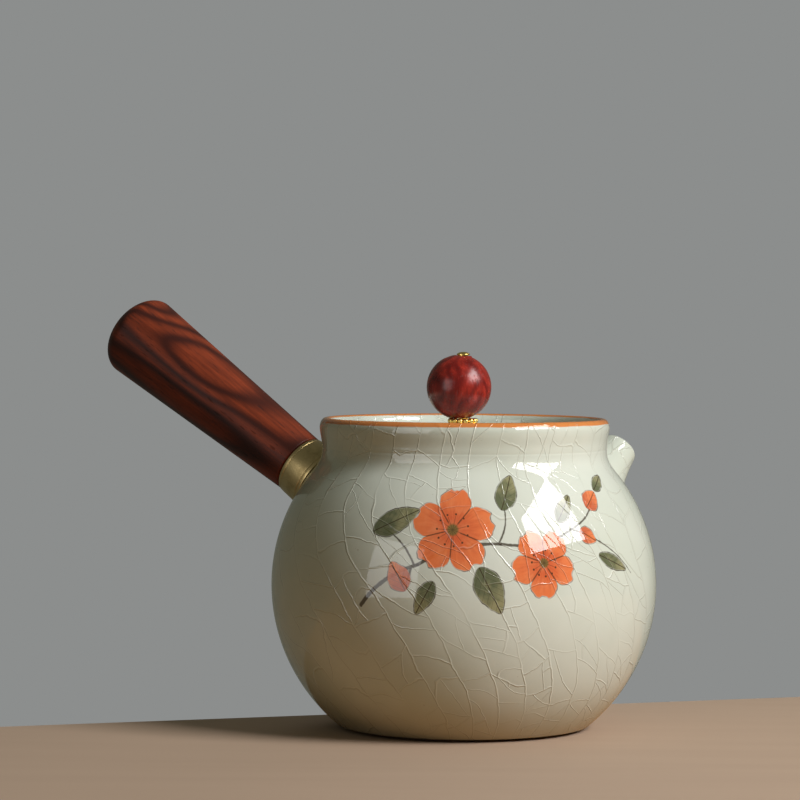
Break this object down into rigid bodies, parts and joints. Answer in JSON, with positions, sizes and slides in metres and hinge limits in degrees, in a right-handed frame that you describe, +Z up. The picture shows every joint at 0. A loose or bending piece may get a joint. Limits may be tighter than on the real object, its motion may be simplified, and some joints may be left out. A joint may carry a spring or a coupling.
{
  "type": "side-handled teapot",
  "caption": "Round crackle-glazed teapot with a short spout, a turned wooden side handle in a brass ferrule and a loose inset lid with a wooden bead knob.",
  "frame": {"origin": "middle of the foot's flat underside, on the pot's axis", "axes": "+Z up along the pot's axis, painted side towards -Y, spout towards +X +Y, handle towards -X +Y"},
  "size_m": [0.1399, 0.1097, 0.1041],
  "materials": {
    "glaze": "glossy crackle glaze",
    "rosewood": "oiled, dark figured grain",
    "bead_wood": "polished",
    "brass": "turned, lightly dulled",
    "silicone": "matt"
  },
  "bodies": {
    "pot": {"pot_body": "glaze", "spout": "glaze", "handle_socket": "glaze", "handle_ferrule": "brass", "handle_grip": "rosewood"},
    "lid_carrier": {"knob_washer": "silicone"},
    "lid": {"lid": "glaze", "knob_bead": "bead_wood", "knob_screw": "brass", "knob_collar": "brass", "knob_nut": "brass"}
  },
  "joints": [
    {"name": "lid_lift", "type": "slide", "parent": "pot", "child": "lid_carrier", "axis": [0, 0, 1], "range_m": [0, 0.05]},
    {"name": "lid_turn", "type": "hinge", "parent": "lid_carrier", "child": "lid", "pos_m": [-0.0004, 0, 0.068], "axis": [0, 0, 1], "continuous": true}
  ]
}
